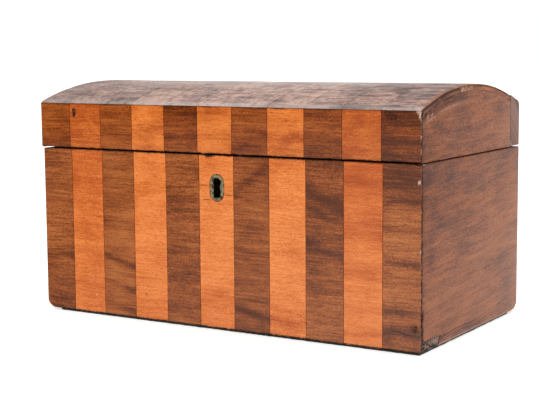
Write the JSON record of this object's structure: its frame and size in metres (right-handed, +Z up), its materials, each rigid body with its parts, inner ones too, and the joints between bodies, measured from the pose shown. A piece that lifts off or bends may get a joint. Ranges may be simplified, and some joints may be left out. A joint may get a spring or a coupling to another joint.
{
  "type": "dome-topped tea caddy",
  "caption": "Domed wooden tea caddy in light and dark striped veneer, with hinged locking lid, lidded tea wells and a glass mixing bowl.",
  "frame": {"origin": "on the surface the caddy stands on, under the middle of its outline", "axes": "+X to the right along the front, +Y from the striped front to the hinged back, +Z up"},
  "size_m": [0.3069, 0.1678, 0.1677],
  "materials": {
    "dark_veneer": "figured walnut veneer, old French polish",
    "light_veneer": "satinwood veneer, old French polish",
    "end_veneer": "walnut veneer, old French polish",
    "top_veneer": "striped veneer, faded and worn by light",
    "carcass_wood": "bare mahogany, waxed by handling",
    "inner_wood": "satin mahogany",
    "brass": "dull tarnished brass",
    "green_baize": "woven wool baize, dirty and frayed",
    "cut_glass": "clear polished glass"
  },
  "bodies": {
    "case": {"front_board": "carcass_wood", "back_board": "carcass_wood", "left_end_board": "carcass_wood", "right_end_board": "carcass_wood", "bottom_board": "carcass_wood", "front_strip_01": "dark_veneer", "front_strip_02": "light_veneer", "front_strip_03": "dark_veneer", "front_strip_04": "light_veneer", "front_strip_05": "dark_veneer", "front_strip_06": "light_veneer", "front_strip_07": "dark_veneer", "front_strip_08": "light_veneer", "front_strip_09": "dark_veneer", "front_strip_10": "light_veneer", "front_strip_11": "dark_veneer", "escutcheon": "brass", "left_end_veneer": "end_veneer", "right_end_veneer": "end_veneer", "base_baize": "green_baize", "left_partition": "inner_wood", "right_partition": "inner_wood", "left_lid_ledge": "inner_wood", "right_lid_ledge": "inner_wood", "bowl_well_board": "inner_wood", "lock_case": "brass", "lock_cap": "brass", "left_hinge_box_leaf": "brass", "right_hinge_box_leaf": "brass", "left_hinge_pin": "brass", "right_hinge_pin": "brass"},
    "lid": {"lid_front_rail": "carcass_wood", "lid_back_rail": "carcass_wood", "lid_left_end": "carcass_wood", "lid_right_end": "carcass_wood", "lid_left_end_veneer": "end_veneer", "lid_right_end_veneer": "end_veneer", "lid_top_board": "carcass_wood", "lid_top_veneer": "top_veneer", "lid_strip_01": "dark_veneer", "lid_strip_02": "light_veneer", "lid_strip_03": "dark_veneer", "lid_strip_04": "light_veneer", "lid_strip_05": "dark_veneer", "lid_strip_06": "light_veneer", "lid_strip_07": "dark_veneer", "lid_strip_08": "light_veneer", "lid_strip_09": "dark_veneer", "lid_strip_10": "light_veneer", "lid_strip_11": "dark_veneer", "lock_link_plate": "brass", "left_hinge_lid_leaf": "brass", "right_hinge_lid_leaf": "brass"},
    "lock_bolt": {"lock_bolt": "brass"},
    "left_tea_lid": {"left_tea_lid": "inner_wood", "left_tea_lid_knob": "brass"},
    "right_tea_lid": {"right_tea_lid": "inner_wood", "right_tea_lid_knob": "brass"},
    "mixing_bowl": {"mixing_bowl": "cut_glass"}
  },
  "joints": [
    {"name": "lid_hinge", "type": "hinge", "parent": "case", "child": "lid", "pos_m": [0, 0.0812, 0.1208], "axis": [-1, 0, 0], "range_deg": [0, 100]},
    {"name": "lock_bolt_slide", "type": "slide", "parent": "case", "child": "lock_bolt", "axis": [1, 0, 0], "range_m": [0, 0.004]},
    {"name": "left_tea_lid_lift", "type": "slide", "parent": "case", "child": "left_tea_lid", "axis": [0, 0, 1], "range_m": [0, 0.038]},
    {"name": "right_tea_lid_lift", "type": "slide", "parent": "case", "child": "right_tea_lid", "axis": [0, 0, 1], "range_m": [0, 0.038]},
    {"name": "mixing_bowl_lift", "type": "slide", "parent": "case", "child": "mixing_bowl", "axis": [0, 0, 1], "range_m": [0, 0.045]}
  ]
}
